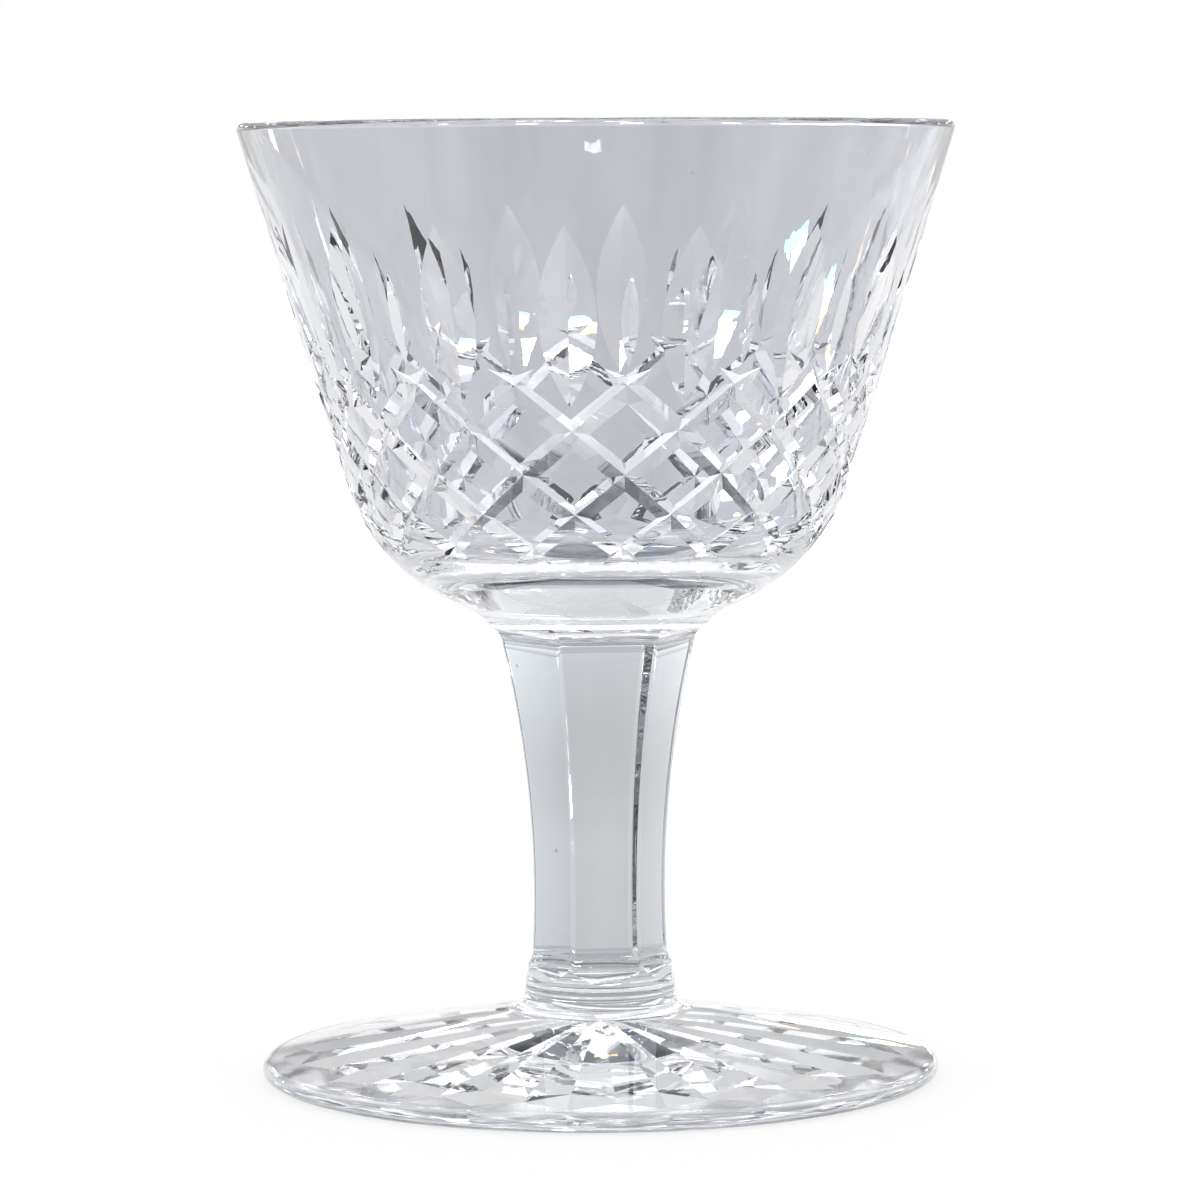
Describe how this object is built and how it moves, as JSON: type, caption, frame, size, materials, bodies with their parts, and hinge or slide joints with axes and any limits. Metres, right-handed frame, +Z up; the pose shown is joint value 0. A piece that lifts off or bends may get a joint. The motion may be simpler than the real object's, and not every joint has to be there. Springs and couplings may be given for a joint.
{
  "type": "liqueur glass",
  "caption": "Short-stemmed liqueur glass of clear cut crystal: flared bowl with diamond and lance cuts, facet-cut stem and round foot with a star-cut underside.",
  "frame": {"origin": "centre of the foot's resting plane", "axes": "+Z up along the glass's axis; the pictured side faces -Y"},
  "size_m": [0.0764, 0.0764, 0.1017],
  "materials": {
    "bowl_crystal": "clear, cut and polished",
    "stem_crystal": "clear, cut and polished",
    "foot_crystal": "clear, cut and polished"
  },
  "bodies": {
    "root": {"bowl": "bowl_crystal", "stem": "stem_crystal", "foot": "foot_crystal"}
  },
  "joints": []
}
